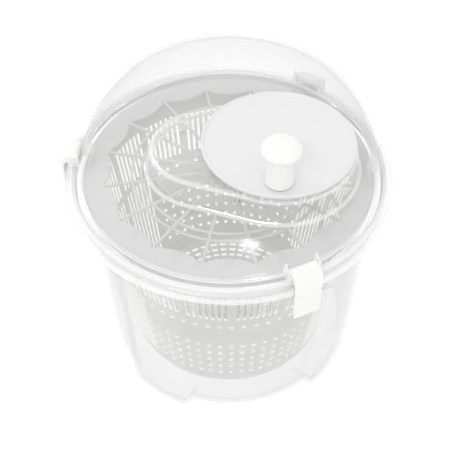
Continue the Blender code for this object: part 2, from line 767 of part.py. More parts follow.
make_bowl()
make_basket()
make_basket_bush()
make_web_cover()
make_cover_hub()
make_lid()
make_gasket()
make_base_plate()
make_gear_screws()
make_gears()
make_crank()
make_clips()
make_bail()
make_bail_pivots()
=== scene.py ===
"""Looks of the hand-cranked salad spinner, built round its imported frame. Metres, +Z up.

Sizes written in millimetres are turned to metres where a mesh is made. Big radii and heights come from
the frame's own boxes.
"""
import json
from math import atan2, cos, hypot, pi, radians, sin, sqrt, tau

import bpy
from mathutils import Matrix, Vector


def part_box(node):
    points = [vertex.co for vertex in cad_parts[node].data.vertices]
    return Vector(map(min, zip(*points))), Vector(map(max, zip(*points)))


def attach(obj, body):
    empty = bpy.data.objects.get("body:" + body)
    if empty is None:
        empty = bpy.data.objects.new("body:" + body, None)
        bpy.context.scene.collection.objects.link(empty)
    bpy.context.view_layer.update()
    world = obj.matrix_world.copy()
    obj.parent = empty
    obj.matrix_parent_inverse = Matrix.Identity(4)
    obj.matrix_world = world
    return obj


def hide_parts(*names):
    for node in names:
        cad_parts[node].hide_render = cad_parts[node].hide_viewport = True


MM = 0.001
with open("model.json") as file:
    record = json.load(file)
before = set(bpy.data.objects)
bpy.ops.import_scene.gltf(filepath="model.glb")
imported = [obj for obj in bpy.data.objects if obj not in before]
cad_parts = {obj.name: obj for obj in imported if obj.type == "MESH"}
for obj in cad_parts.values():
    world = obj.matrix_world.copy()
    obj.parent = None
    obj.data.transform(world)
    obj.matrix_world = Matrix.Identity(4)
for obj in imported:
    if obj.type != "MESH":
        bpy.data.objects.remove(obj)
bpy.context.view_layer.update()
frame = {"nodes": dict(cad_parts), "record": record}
JOINTS = {joint["name"]: joint for joint in frame["record"]["behaviour"]["joints"]}
UP = Vector((0.0, 0.0, 1.0))


def half_width(node):
    """Half a CAD node's width along X, in millimetres."""
    low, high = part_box(node)
    return (high.x - low.x) / 2 / MM


def top_of(node):
    """A CAD node's highest point, in millimetres."""
    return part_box(node)[1].z / MM


# Sizes, places and one axis read from the frame, in millimetres
WEB_R = half_width("basket_cover")
WEB_Z = top_of("basket_cover")
RIM_R = half_width("lid")
HOUSING_Z = top_of("lid")
BASKET_LIP_R = half_width("basket")
BASKET_TOP = top_of("basket")
CRANK_X = JOINTS["crank_spin"]["pos_m"][0] / MM
KNOB_X, KNOB_Y = [value / MM for value in JOINTS["knob_spin"]["pos_m"][:2]]
BAIL_Z = JOINTS["handle_fold"]["pos_m"][2] / MM
BAIL_AXIS = Vector(JOINTS["handle_fold"]["axis"])
DISC_R = half_width("crank_disc")
KNOB_TOP = top_of("knob")
KNOB_R = half_width("knob")

# Sizes of the fine shapes, in millimetres and degrees
ROUND = 240              # columns round a large piece
SKIN = 0.05              # how far a fine surface stays inside the CAD one

BOWL_WALL = 2.0
LOBE_AZ = -33.5          # azimuth of one foot
LOBE_STEP = 90.0
PANEL_HALF = 31.0        # half a recessed panel's angle
PANEL_TOP_Z = 147.0
PANEL_CORNER = 12.0
PANEL_SLOPE = 3.6
PANEL_MIN_R = 75.0       # nothing is recessed nearer the axis

BASKET_WALL = 1.8
BASKET_SECTORS = 16
BASKET_CELLS = 8         # columns in a sector: one post, then openings
BASKET_FLOOR_Z = 15.0
BASKET_LOW_R, BASKET_LOW_Z = 80.0, 21.0
BASKET_HIGH_R, BASKET_HIGH_Z = 99.6, 174.0
SLOT_LOW_Z, SLOT_HIGH_Z = 119.0, 160.0
HOLE_HEIGHT = 3.0
# Openings as shares of a cell's height and width
UPRIGHT_SLOT = (0.97, 0.46)
SIDE_SLOT = (0.95, 0.34)
FLOOR_SLOT = (0.42, 0.70)
HOLE_WIDTH = 0.70

WEB_RIBS = 16
WEB_RIB_W = 2.6
WEB_HOOPS = ((13.7, 18.6), (64.1, 66.1), (71.1, 73.1))    # inner and outer radius
WEB_SKIRT = 7.4
SCALLOP = 6.8

LID_WALL = 1.9
PLATE_Z = 184.8
RIM_TOP_Z = 186.0
HOUSING_X = -18.0        # axis of the housing's smaller arc
HOUSING_SMALL_R, HOUSING_LARGE_R = 42.0, 59.4
CRANK_HOLE_R = 8.2

DISC_Z = (206.0, 208.5)
KNOB_FOOT_Z = 208.9
KNOB_BORE_R, KNOB_BORE_Z = 3.35, 238.6

CLIPS = (1, 2, 3)
CLIP_W = 20.0
CLIP_RIDGES = 4
EAR_THICK = 2.0
EAR_GAP = 0.4

BAIL_WALL = 2.2
BAIL_A, BAIL_B = 107.8, 105.0
BAIL_LEAN = 13.0
BAIL_HALF_W = 20.5
BAIL_END_HALF_W = 5.2
BAIL_TIP_HALF_W = 1.8
BAIL_TAB = 5.0
BAIL_FLANGE = 4.5        # added to the least flange where the bail is wide
BAIL_LEAST_FLANGE = 0.05
LUG_CROWN = 6.0


# ---------------------------------------------------------------- node helpers

class Nodes:
    """A thin wrapper that adds and links shader nodes."""

    def __init__(self, name):
        self.material = bpy.data.materials.new(name)
        self.material.use_nodes = True
        self.tree = self.material.node_tree
        self.tree.nodes.clear()

    def add(self, kind, **values):
        node = self.tree.nodes.new(kind)
        for key, value in values.items():
            if hasattr(node, key):
                setattr(node, key, value)
            else:
                node.inputs[key.replace("_", " ")].default_value = value
        return node

    def link(self, source, target):
        self.tree.links.new(source, target)


def surface_noise(nodes, scale, detail):
    """Noise in the object's own space."""
    coord = nodes.add("ShaderNodeTexCoord")
    noise = nodes.add("ShaderNodeTexNoise", Scale=scale, Detail=detail)
    nodes.link(coord.outputs["Object"], noise.inputs["Vector"])
    return noise


def remap(nodes, source, low, high):
    span = nodes.add("ShaderNodeMapRange", clamp=True)
    span.inputs["To Min"].default_value = low
    span.inputs["To Max"].default_value = high
    nodes.link(source, span.inputs["Value"])
    return span.outputs["Result"]


def mixed(nodes, factor, first, second):
    mix = nodes.add("ShaderNodeMixShader")
    nodes.link(factor, mix.inputs["Fac"])
    nodes.link(first, mix.inputs[1])
    nodes.link(second, mix.inputs[2])
    return mix.outputs["Shader"]


def bump_from(nodes, noise, strength, distance):
    bump = nodes.add("ShaderNodeBump", Strength=strength, Distance=distance)
    nodes.link(noise.outputs["Fac"], bump.inputs["Height"])
    return bump.outputs["Normal"]


def finish_material(nodes, shader):
    output = nodes.add("ShaderNodeOutputMaterial")
    nodes.link(shader, output.inputs["Surface"])
    return nodes.material


# ---------------------------------------------------------------- materials

def clear_plastic(name, least, veil=0.5, curve=1.8, tone=0.72, painted_glow=0.15, tint=0.997, edge_tint=0.95):
    """Clear moulded plastic: see-through face on, paler and denser towards its edges, with a sharp gloss.
    Its body glows a little: painted light that keeps that paleness white.

    least and veil are how much of it shows face on and edge on, tint and edge_tint what it passes there.
    """
    nodes = Nodes(name)
    flow = surface_noise(nodes, 14.0, 3.0)
    ripple = surface_noise(nodes, 45.0, 2.0)
    normal = bump_from(nodes, ripple, 0.10, 0.0005)
    facing = nodes.add("ShaderNodeLayerWeight", Blend=0.5)
    nodes.link(normal, facing.inputs["Normal"])
    steep = nodes.add("ShaderNodeMath", operation="POWER")
    steep.inputs[1].default_value = curve
    nodes.link(facing.outputs["Facing"], steep.inputs[0])
    through = nodes.add("ShaderNodeBsdfTransparent")
    nodes.link(remap(nodes, steep.outputs["Value"], tint, edge_tint), through.inputs["Color"])
    body = nodes.add("ShaderNodeBsdfPrincipled", Metallic=0.22)
    body.inputs["Base Color"].default_value = (tone, tone, tone * 0.995, 1.0)
    # The emission is painted light: the clear body glows so that its veil reads white, not grey.
    body.inputs["Emission Color"].default_value = (1.0, 1.0, 0.995, 1.0)
    body.inputs["Emission Strength"].default_value = painted_glow
    nodes.link(remap(nodes, flow.outputs["Fac"], 0.05, 0.12), body.inputs["Roughness"])
    nodes.link(normal, body.inputs["Normal"])
    dense = remap(nodes, steep.outputs["Value"], least, veil)
    cloud = remap(nodes, flow.outputs["Fac"], 0.0, least)
    share = nodes.add("ShaderNodeMath", operation="ADD", use_clamp=True)
    nodes.link(dense, share.inputs[0])
    nodes.link(cloud, share.inputs[1])
    return finish_material(nodes, mixed(nodes, share.outputs["Value"], through.outputs["BSDF"],
                                        body.outputs["BSDF"]))


def smoke_plastic(name, tone, cover, painted_glow):
    """Milky grey plastic that hides a share, cover, of what is behind it, and glows a little: painted light
    that lifts it where it lies in shade.
    """
    nodes = Nodes(name)
    flow = surface_noise(nodes, 22.0, 4.0)
    grain = surface_noise(nodes, 700.0, 2.0)
    body = nodes.add("ShaderNodeBsdfPrincipled", Roughness=0.28)
    shade = remap(nodes, flow.outputs["Fac"], tone * 0.96, tone * 1.04)
    tinted = nodes.add("ShaderNodeCombineColor")
    for channel in ("Red", "Green", "Blue"):
        nodes.link(shade, tinted.inputs[channel])
    nodes.link(tinted.outputs["Color"], body.inputs["Base Color"])
    nodes.link(bump_from(nodes, grain, 0.10, 0.0004), body.inputs["Normal"])
    # The emission is painted light, brightening the grey inside the basket where it is shaded.
    body.inputs["Emission Color"].default_value = (1.0, 1.0, 0.96, 1.0)
    body.inputs["Emission Strength"].default_value = painted_glow
    through = nodes.add("ShaderNodeBsdfTransparent", Color=(0.955, 0.955, 0.945, 1.0))
    share = remap(nodes, flow.outputs["Fac"], cover - 0.04, cover + 0.04)
    return finish_material(nodes, mixed(nodes, share, through.outputs["BSDF"], body.outputs["BSDF"]))


def solid_plastic(name, colour, roughness=0.32, bump=0.06, coat=0.15):
    """Opaque moulded plastic with a fine grain, faint mottling and slightly uneven gloss."""
    nodes = Nodes(name)
    flow = surface_noise(nodes, 30.0, 3.0)
    grain = surface_noise(nodes, 900.0, 2.0)
    shade = nodes.add("ShaderNodeMapRange")
    shade.data_type = "FLOAT_VECTOR"
    nodes.link(flow.outputs["Fac"], shade.inputs[6])
    for socket, scale in ((9, 0.975), (10, 1.0)):
        shade.inputs[socket].default_value = tuple(channel * scale for channel in colour)
    body = nodes.add("ShaderNodeBsdfPrincipled")
    body.inputs["Coat Weight"].default_value = coat
    body.inputs["Coat Roughness"].default_value = 0.12
    nodes.link(shade.outputs[1], body.inputs["Base Color"])
    gloss = remap(nodes, flow.outputs["Fac"], roughness - 0.05, roughness + 0.05)
    nodes.link(gloss, body.inputs["Roughness"])
    nodes.link(bump_from(nodes, grain, bump, 0.0003), body.inputs["Normal"])
    return finish_material(nodes, body.outputs["BSDF"])


def steel(name):
    """Turned steel with a fine lay and uneven gloss."""
    nodes = Nodes(name)
    lay = surface_noise(nodes, 1500.0, 2.0)
    body = nodes.add("ShaderNodeBsdfPrincipled", Metallic=1.0)
    body.inputs["Base Color"].default_value = (0.80, 0.80, 0.81, 1.0)
    nodes.link(remap(nodes, lay.outputs["Fac"], 0.22, 0.38), body.inputs["Roughness"])
    nodes.link(bump_from(nodes, lay, 0.08, 0.0002), body.inputs["Normal"])
    return finish_material(nodes, body.outputs["BSDF"])


CLEAR_BOWL = clear_plastic("clear_bowl", least=0.02, curve=2.2, painted_glow=0.13, tint=0.999, edge_tint=0.90)
CLEAR_LID = clear_plastic("clear_lid", least=0.05, veil=0.45, tone=0.78, edge_tint=0.98)
# A denser, paler, more glowing copy of the clear plastic: painted highlight lines on the lid's edges, also
# used for the clip ears.
CLEAR_HIGHLIGHT = clear_plastic("clear_highlight", least=0.24, veil=0.55, tone=0.82, painted_glow=0.17, edge_tint=0.98)
CLEAR_BAIL = clear_plastic("clear_bail", least=0.10, veil=0.55, tint=0.995)
# The basket's wall and floor are one moulding; the floor's copy is a little paler and glows more, painted
# light for how lit it looks.
SMOKE_BASKET = smoke_plastic("smoke_basket", tone=0.575, cover=0.74, painted_glow=0.10)
SMOKE_FLOOR = smoke_plastic("smoke_floor", tone=0.60, cover=0.76, painted_glow=0.12)
# Paler, strongly glowing smoke for the cut edges of the basket's openings: painted light, as if lit through
# the slots.
SMOKE_LIT_EDGE = smoke_plastic("smoke_lit_edge", tone=0.80, cover=0.80, painted_glow=0.36)
SMOKE_WEB = smoke_plastic("smoke_web", tone=0.62, cover=0.92, painted_glow=0.07)
WHITE = solid_plastic("white_plastic", (0.86, 0.86, 0.842))
DISC_GREY = solid_plastic("disc_plastic", (0.763, 0.763, 0.77), roughness=0.4, bump=0.12, coat=0.05)
ACETAL = solid_plastic("acetal", (0.84, 0.84, 0.82), roughness=0.42)
SEAL = solid_plastic("seal", (0.80, 0.81, 0.81), roughness=0.5, coat=0.0)
STEEL = steel("turned_steel")


# ---------------------------------------------------------------- mesh helpers

def smooth(t):
    """0 to 1 with a gentle start and end."""
    t = min(1.0, max(0.0, t))
    return t * t * (3.0 - 2.0 * t)


def piece(name, verts, faces, material, body, replaces=(), sharp=40.0):
    """A visible piece from vertices in millimetres, which moves with a body and may stand for CAD nodes."""
    mesh = bpy.data.meshes.new(name)
    mesh.from_pydata([Vector(v) * MM for v in verts], [], faces)
    mesh.validate()
    mesh.shade_smooth()
    mesh.set_sharp_from_angle(angle=radians(sharp))
    mesh.materials.append(material)
    obj = bpy.data.objects.new(name, mesh)
    bpy.context.scene.collection.objects.link(obj)
    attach(obj, body)
    if replaces:
        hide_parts(*replaces)
    return obj


def apply_modifiers(obj):
    graph = bpy.context.evaluated_depsgraph_get()
    mesh = bpy.data.meshes.new_from_object(obj.evaluated_get(graph))
    obj.modifiers.clear()
    obj.data = mesh


def thicken(obj, thickness, even=True, rim=None):
    """Give a sheet its wall; rim is the material of the cut edges round its holes, where a paler glowing
    smoke paints the light coming through them.
    """
    wall = obj.modifiers.new("Wall", "SOLIDIFY")
    wall.thickness = thickness * MM
    wall.offset = -1.0
    wall.use_even_offset = even
    if rim:
        obj.data.materials.append(rim)
        wall.material_offset_rim = 1
    apply_modifiers(obj)
    obj.data.set_sharp_from_angle(angle=radians(40.0))


def bevel(obj, width, segments=2):
    edge = obj.modifiers.new("Edges", "BEVEL")
    edge.width = width * MM
    edge.segments = segments
    edge.limit_method = "ANGLE"
    edge.angle_limit = radians(40.0)
    edge.harden_normals = True
    apply_modifiers(obj)


def polar(radius, angle, z):
    return (radius * cos(angle), radius * sin(angle), z)


def ring(radius, z, centre=(0.0, 0.0), count=ROUND):
    return [(centre[0] + radius * cos(tau * i / count), centre[1] + radius * sin(tau * i / count), z)
            for i in range(count)]


def loft(loops, close=False):
    """Quads between loops that run down the outer side; a one-point loop is a pole."""
    verts, starts, faces = [], [], []
    for loop in loops:
        starts.append(len(verts))
        verts.extend(loop)
    pairs = [(k, k + 1) for k in range(len(loops) - 1)]
    if close:
        pairs.append((len(loops) - 1, 0))
    for a, b in pairs:
        count = max(len(loops[a]), len(loops[b]))
        for i in range(count):
            j = (i + 1) % count
            corners = []
            for loop, index in ((a, i), (b, i), (b, j), (a, j)):
                vertex = starts[loop] + (index if len(loops[loop]) > 1 else 0)
                if vertex not in corners:
                    corners.append(vertex)
            faces.append(corners)
    return verts, faces


def rounded(points, radius, steps=3, closed=False):
    """A polyline with its corners replaced by short curves, no longer than a third of each side."""
    count = len(points)
    result = []
    for k, point in enumerate(points):
        if not closed and k in (0, count - 1):
            result.append(point)
            continue
        before, after = points[k - 1], points[(k + 1) % count]
        legs = []
        for other in (before, after):
            dx, dy = other[0] - point[0], other[1] - point[1]
            length = hypot(dx, dy)
            reach = min(radius, length / 3)
            legs.append((point[0] + dx / length * reach, point[1] + dy / length * reach))
        for s in range(steps + 1):
            t = s / steps
            x = (1 - t) ** 2 * legs[0][0] + 2 * t * (1 - t) * point[0] + t ** 2 * legs[1][0]
            y = (1 - t) ** 2 * legs[0][1] + 2 * t * (1 - t) * point[1] + t ** 2 * legs[1][1]
            result.append((x, y))
    return result


def turned_loops(profile, centre=(0.0, 0.0), count=96):
    """Loops of a turned shape; a point on the axis becomes a pole."""
    loops = []
    for r, z in profile:
        loops.append([(centre[0], centre[1], z)] if r < 1e-6 else ring(r, z, centre, count))
    return loops


def catmull(rows, steps):
    """Rows of numbers, refined through every row by a Catmull-Rom curve."""
    fine = []
    for k in range(len(rows) - 1):
        p0, p1 = rows[max(k - 1, 0)], rows[k]
        p2, p3 = rows[k + 1], rows[min(k + 2, len(rows) - 1)]
        for s in range(steps):
            t = s / steps
            fine.append(tuple(
                0.5 * (2 * b + (c - a) * t + (2 * a - 5 * b + 4 * c - d) * t * t
                       + (3 * b - a - 3 * c + d) * t ** 3)
                for a, b, c, d in zip(p0, p1, p2, p3)))
    fine.append(rows[-1])
    return fine


def prism(outline, low, high, place):
    """An extruded outline placed by a matrix, outline in its X-Y plane."""
    count = len(outline)
    verts = [place @ Vector((x, y, low)) for x, y in outline]
    verts += [place @ Vector((x, y, high)) for x, y in outline]
    faces = [list(range(count))[::-1], list(range(count, 2 * count))]
    for i in range(count):
        j = (i + 1) % count
        faces.append([i, j, count + j, count + i])
    return verts, faces


def merged(parts):
    """Several (vertices, faces) pairs as one."""
    verts, faces = [], []
    for part_verts, part_faces in parts:
        start = len(verts)
        verts.extend(part_verts)
        faces.extend([[start + index for index in face] for face in part_faces])
    return verts, faces


# ---------------------------------------------------------------- bowl

def panel_share(azimuth, radius, z):
    """1 inside a recessed panel, 0 on a foot column: a rounded rectangle open at the bottom."""
    off = abs((azimuth - LOBE_AZ) % LOBE_STEP - LOBE_STEP / 2)
    across = radians(off - PANEL_HALF) * radius + PANEL_CORNER
    above = z - PANEL_TOP_Z + PANEL_CORNER
    outside = hypot(max(across, 0.0), max(above, 0.0)) + min(max(across, above), 0.0) - PANEL_CORNER
    return smooth(0.5 - outside / PANEL_SLOPE)


def bowl_rows():
    """(radius, z) on a foot column, then (radius, z) in a panel, from the pivot out to the lip."""
    middle = [(3.4, 19.7), (4.4, 15.0), (6.0, 9.4), (9.0, 8.8), (30.0, 8.8), (70.0, 8.8)]
    foot = [(78.0, 8.6, 78.0, 8.8), (82.0, 6.2, 82.0, 8.8), (85.6, 2.4, 85.4, 8.8), (90.5, 2.3, 89.0, 9.0),
            (95.4, 2.4, 92.0, 9.6), (99.6, 5.4, 95.6, 11.8), (102.8, 12.0, 97.2, 16.0)]
    wall = [(34.0, 104.2, 98.2), (62.0, 105.3, 99.3), (90.0, 106.2, 100.3), (115.0, 107.1, 101.2),
            (132.0, 107.7, 101.9), (141.0, 108.1, 102.3), (149.0, 108.4, 102.7), (158.0, 108.8, 103.1),
            (168.0, 109.3, 103.6)]
    lip = [(109.6, 173.4), (110.2, 175.4), (112.0, 176.0), (116.8, 176.0), (118.8, 175.3), (119.4, 173.6),
           (119.1, 171.6), (119.4, 169.6), (119.4, 168.1)]
    rows = [point * 2 for point in middle] + foot
    rows += [(column_r, z, panel_r, z) for z, column_r, panel_r in wall]
    rows += [point * 2 for point in lip]
    return catmull(rows, 4)


def make_bowl():
    loops = [[(0.0, 0.0, 20.4)]]
    for foot_r, foot_z, panel_r, panel_z in bowl_rows():
        loop = []
        for i in range(ROUND):
            azimuth = 360.0 * i / ROUND
            share = panel_share(azimuth, foot_r, foot_z) if foot_r > PANEL_MIN_R else 0.0
            r = foot_r + (panel_r - foot_r) * share
            z = foot_z + (panel_z - foot_z) * share
            loop.append(polar(r, radians(azimuth), z))
        loops.append(loop)
    verts, faces = loft(loops)
    shell = piece("bowl_shell", verts, faces, CLEAR_BOWL, "bowl", ("bowl",))
    thicken(shell, BOWL_WALL)


# ---------------------------------------------------------------- basket

def holed_cell(corners, height, width):
    """Faces of a four-cornered cell round an eight-sided opening, given as shares of the cell."""
    centre = sum(corners, Vector()) / 4
    across = (corners[2] + corners[3] - corners[0] - corners[1]) / 4 * width
    up = (corners[0] + corners[3] - corners[1] - corners[2]) / 4 * height
    cut = 0.45 * min(across.length, up.length)
    short_across, short_up = across * (1 - cut / across.length), up * (1 - cut / up.length)
    inner = [-across + short_up, -across - short_up, -up - short_across, -up + short_across,
             across - short_up, across + short_up, up + short_across, up - short_across]
    faces = []
    for k in range(4):
        j = (k + 1) % 4
        faces.append([k, j, 4 + 2 * k + 1, 4 + 2 * k])
        faces.append([j, 4 + (2 * k + 2) % 8, 4 + 2 * k + 1])
    return list(corners) + [centre + point for point in inner], faces


def lattice(loops, opening):
    """A lofted sheet whose cells may be pierced: opening(row, column) gives shares or None."""
    parts = []
    for row in range(len(loops) - 1):
        a, b = loops[row], loops[row + 1]
        count = len(a)
        for i in range(count):
            j = (i + 1) % count
            corners = [Vector(a[i]), Vector(b[i]), Vector(b[j]), Vector(a[j])]
            shares = opening(row, i)
            if shares is None:
                parts.append((corners, [[0, 1, 2, 3]]))
            else:
                parts.append(holed_cell(corners, *shares))
    return merged(parts)


def weld(obj, distance=0.00002):
    join = obj.modifiers.new("Join", "WELD")
    join.merge_threshold = distance
    apply_modifiers(obj)


def basket_radius(z):
    share = (z - BASKET_LOW_Z) / (BASKET_HIGH_Z - BASKET_LOW_Z)
    return BASKET_LOW_R + (BASKET_HIGH_R - BASKET_LOW_R) * share


def make_basket_wall():
    """Upright slots high up all round; below them small holes front and back, slots at the sides."""
    count = BASKET_SECTORS * BASKET_CELLS
    holes_z = [28.0, 39.0, 50.0, 61.0, 72.0]
    plain_z, top_holes_z, band_z = 83.0, 103.0, 114.0
    edges = holes_z + [plain_z, top_holes_z, band_z, SLOT_LOW_Z, SLOT_HIGH_Z, 167.0, BASKET_HIGH_Z]
    foot = [(75.5, 15.6), (78.4, 17.4), (BASKET_LOW_R, BASKET_LOW_Z)]
    rim = [(100.0, 177.6), (101.2, BASKET_TOP), (104.4, BASKET_TOP), (BASKET_LIP_R - SKIN, 178.4),
           (BASKET_LIP_R - SKIN, 176.4)]
    profile = foot + [(basket_radius(z), z) for z in edges] + rim
    loops = turned_loops(profile, count=count)

    def opening(row, column):
        low_z, high_z = profile[row][1], profile[row + 1][1]
        post = column % BASKET_CELLS == 0
        front_or_back = abs(sin((column + 0.5) / count * tau)) > 0.7
        if low_z == SLOT_LOW_Z:
            return None if post else UPRIGHT_SLOT
        if low_z < holes_z[0] or low_z >= band_z:
            return None
        if not front_or_back:
            return None if post else SIDE_SLOT
        if low_z == plain_z or column % 2:
            return None
        return HOLE_HEIGHT / (high_z - low_z), HOLE_WIDTH

    verts, faces = lattice(loops, opening)
    wall = piece("basket_wall", verts, faces, SMOKE_BASKET, "basket", ("basket",))
    weld(wall)
    thicken(wall, BASKET_WALL, even=False, rim=SMOKE_LIT_EDGE)


def make_basket_floor():
    """Rings of short curved slots about a plain raised centre and the bush's collar."""
    collar = rounded([(9.9, 24.0), (10.4, 17.0), (25.6, 17.0), (28.6, BASKET_FLOOR_Z)], 1.2)
    radii = [36.4, 41.0, 47.4, 53.8, 60.2, 66.6, 73.0]
    loops = turned_loops(collar + [(r, BASKET_FLOOR_Z) for r in radii] + [(75.6, 15.6)], count=48)
    slotted = {len(collar) - 1} | {len(collar) + k for k in range(1, 6)}
    verts, faces = lattice(loops, lambda row, column: FLOOR_SLOT if row in slotted else None)
    floor = piece("basket_floor", verts, faces, SMOKE_FLOOR, "basket", ("basket",))
    weld(floor)
    thicken(floor, BASKET_WALL, even=False, rim=SMOKE_LIT_EDGE)


# ---------------------------------------------------------------- web cover

def scalloped(angle, radius, depth):
    """The web's inner edge: points outward at the ribs, lobes inward between them."""
    within = (angle / (tau / WEB_RIBS)) % 1.0
    return radius - depth * sin(pi * within) ** 0.8


def make_web():
    count = WEB_RIBS * 16
    angles = [tau * i / count for i in range(count)]
    turn = pi / WEB_RIBS

    def wavy(radius, depth, z):
        loop = []
        for angle in angles:
            loop.append(polar(scalloped(angle, radius, depth), angle + turn, z))
        return loop

    top, under, skirt = WEB_Z, WEB_Z - BASKET_WALL, WEB_Z - WEB_SKIRT
    band = [wavy(94.2, SCALLOP, top - 0.5), wavy(94.8, SCALLOP, top), wavy(106.2, 0.0, top),
            wavy(107.2, 0.0, top - 0.3), wavy(WEB_R - SKIN, 0.0, top - 1.3), wavy(WEB_R - SKIN, 0.0, skirt),
            wavy(WEB_R - 1.6, 0.0, skirt), wavy(WEB_R - 1.7, 0.0, under), wavy(94.6, SCALLOP, under),
            wavy(94.2, SCALLOP, under + 0.4)]
    parts = [loft(band, close=True)]
    for low, high in WEB_HOOPS:
        hoop = rounded([(low, top), (high, top), (high, under), (low, under)], 0.6, closed=True)
        parts.append(loft([ring(r, z) for r, z in hoop], close=True))
    half = WEB_RIB_W / 2
    corners = [(-half * 0.7, top), (half * 0.7, top), (half, under), (-half, under)]
    section = rounded(corners, 0.5, closed=True)
    size = len(section)
    for k in range(WEB_RIBS):
        along = Matrix.Rotation(tau * k / WEB_RIBS + turn, 4, "Z")
        loops = [[along @ Vector((x, y, z)) for y, z in section] for x in (16.0, 95.0)]
        verts, faces = loft(loops)
        faces += [list(range(size)), list(range(size, 2 * size))[::-1]]
        parts.append((verts, faces))
    verts, faces = merged(parts)
    piece("web_cover", verts, faces, SMOKE_WEB, "cover", ("basket_cover",))


# ---------------------------------------------------------------- lid

def housing_outline(grow, z):
    """Two arcs, the larger about the crank's axis, with straight stretches between; grown outward."""
    narrowing = HOUSING_SMALL_R - HOUSING_LARGE_R
    turn = atan2(sqrt((CRANK_X - HOUSING_X) ** 2 - narrowing ** 2), narrowing)
    points = []
    for i in range(ROUND):
        angle = tau * i / ROUND
        near_crank = abs((angle + pi) % tau - pi) < turn
        middle_x, radius = (CRANK_X, HOUSING_LARGE_R) if near_crank else (HOUSING_X, HOUSING_SMALL_R)
        points.append((middle_x + (radius + grow) * cos(angle), (radius + grow) * sin(angle), z))
    return points


def paint_highlight_bands(obj, material, bands):
    """Give a second material, the painted highlight, to faces whose middle lies in one of the bands of
    radius and height.
    """
    obj.data.materials.append(material)
    for polygon in obj.data.polygons:
        x, y, z = polygon.center / MM
        for low_r, high_r, low_z, high_z in bands:
            if low_r < hypot(x, y) < high_r and low_z < z < high_z:
                polygon.material_index = 1


def make_lid():
    loops = [ring(r, HOUSING_Z, (CRANK_X, 0.0)) for r in (CRANK_HOLE_R, 12.0)]
    wall = [(-12.0, HOUSING_Z), (-1.6, HOUSING_Z), (-0.4, 187.6), (3.0, PLATE_Z), (4.0, PLATE_Z)]
    loops += [housing_outline(grow, z) for grow, z in rounded(wall, 3.4, 5)]
    hem_r = RIM_R - 0.1
    beads = [(104.5, PLATE_Z), (107.6, PLATE_Z), (108.9, RIM_TOP_Z), (111.9, RIM_TOP_Z), (112.6, 184.9),
             (114.8, 184.9), (115.4, RIM_TOP_Z - 0.1), (118.2, RIM_TOP_Z - 0.1), (119.2, 184.6)]
    skirt = [(119.5, 183.0), (120.4, 182.3), (121.4, 181.6), (hem_r, 179.6), (hem_r, 177.4),
             (RIM_R - 0.5, 176.8), (hem_r, 176.2), (hem_r, 175.2)]
    loops += [ring(r, z) for r, z in rounded(beads + skirt, 0.7)]
    verts, faces = loft(loops)
    shell = piece("lid_shell", verts, faces, CLEAR_LID, "lid", ("lid",))
    # Painted highlight lines: bands along the housing's top and foot, the rim's two beads and the hem.
    housing_top, housing_foot = (0.0, 103.0, 202.0, 203.98), (0.0, 103.5, 184.95, 186.4)
    inner_bead, outer_bead = (108.2, 112.2, 185.4, 187.0), (115.2, 119.0, 184.8, 187.0)
    hem = (120.6, 123.0, 175.0, 180.5)
    paint_highlight_bands(shell, CLEAR_HIGHLIGHT, [housing_top, housing_foot, inner_bead, outer_bead, hem])
    thicken(shell, LID_WALL)


def clip_frame(index):
    """X outward from the bowl's axis, Y up and Z along the clip's pin, about the pin's middle."""
    at = Vector(JOINTS[f"clip_{index}_open"]["pos_m"]) / MM
    out = Vector((at.x, at.y, 0.0)).normalized()
    place = Matrix((out, UP, out.cross(UP))).transposed().to_4x4()
    place.translation = at
    return place


def make_ears():
    """Pairs of pointed ears that hold the clips' pins."""
    corners = [(-4.6, -4.9), (3.4, -4.9), (3.8, 0.6), (2.4, 3.0), (-1.2, 4.4), (-3.6, 7.5), (-4.6, 2.4)]
    outline = rounded(corners, 1.0, closed=True)
    inner = CLIP_W / 2 + EAR_GAP
    parts = []
    for index in CLIPS:
        for low in (inner, -inner - EAR_THICK):
            parts.append(prism(outline, low, low + EAR_THICK, clip_frame(index)))
    verts, faces = merged(parts)
    # The ears take the painted-highlight copy of the clear plastic.
    bevel(piece("clip_ears", verts, faces, CLEAR_HIGHLIGHT, "lid"), 0.4)


def axial_frame(side):
    """X along the tangent, Y up, Z outward along the bail's axis; side is 1 or -1."""
    out = BAIL_AXIS * side
    place = Matrix((UP.cross(out), UP, out)).transposed().to_4x4()
    place.translation = UP * BAIL_Z
    return place


def make_lugs():
    """Two arched lugs on the lid that hold the bail's pivots."""
    arch = [(LUG_CROWN * cos(pi * i / 16), LUG_CROWN * sin(pi * i / 16)) for i in range(17)]
    foot_z = PLATE_Z - 0.4 - BAIL_Z
    outline = [(-8.0, foot_z), (8.0, foot_z)] + arch
    parts = [prism(outline, 102.5, 104.8, axial_frame(side)) for side in (1, -1)]
    verts, faces = merged(parts)
    bevel(piece("handle_lugs", verts, faces, CLEAR_LID, "lid"), 0.5)


def make_pivots():
    rivet = rounded([(0.0, 109.2), (3.4, 109.2), (4.2, 108.6), (4.2, 108.1), (2.6, 108.1), (2.6, 102.2),
                     (4.2, 102.2), (4.2, 101.6), (3.4, 101.0), (0.0, 101.0)], 0.5)
    for index, side in ((1, 1), (2, -1)):
        place = axial_frame(side)
        loops = [[place @ Vector(point) for point in loop] for loop in turned_loops(rivet, count=32)]
        verts, faces = loft(loops)
        piece(f"pivot_{index}", verts, faces, CLEAR_LID, "lid", (f"handle_pivot_{index}",))


def make_gasket():
    low, high = [corner.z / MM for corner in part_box("lid_gasket")]
    section = rounded([(113.5, high), (116.5, high), (117.3, low + 0.4), (116.6, low), (113.4, low),
                       (112.7, low + 0.4)], 0.8, closed=True)
    verts, faces = loft(turned_loops(section, count=ROUND), close=True)
    piece("seal_ring", verts, faces, SEAL, "lid", ("lid_gasket",))


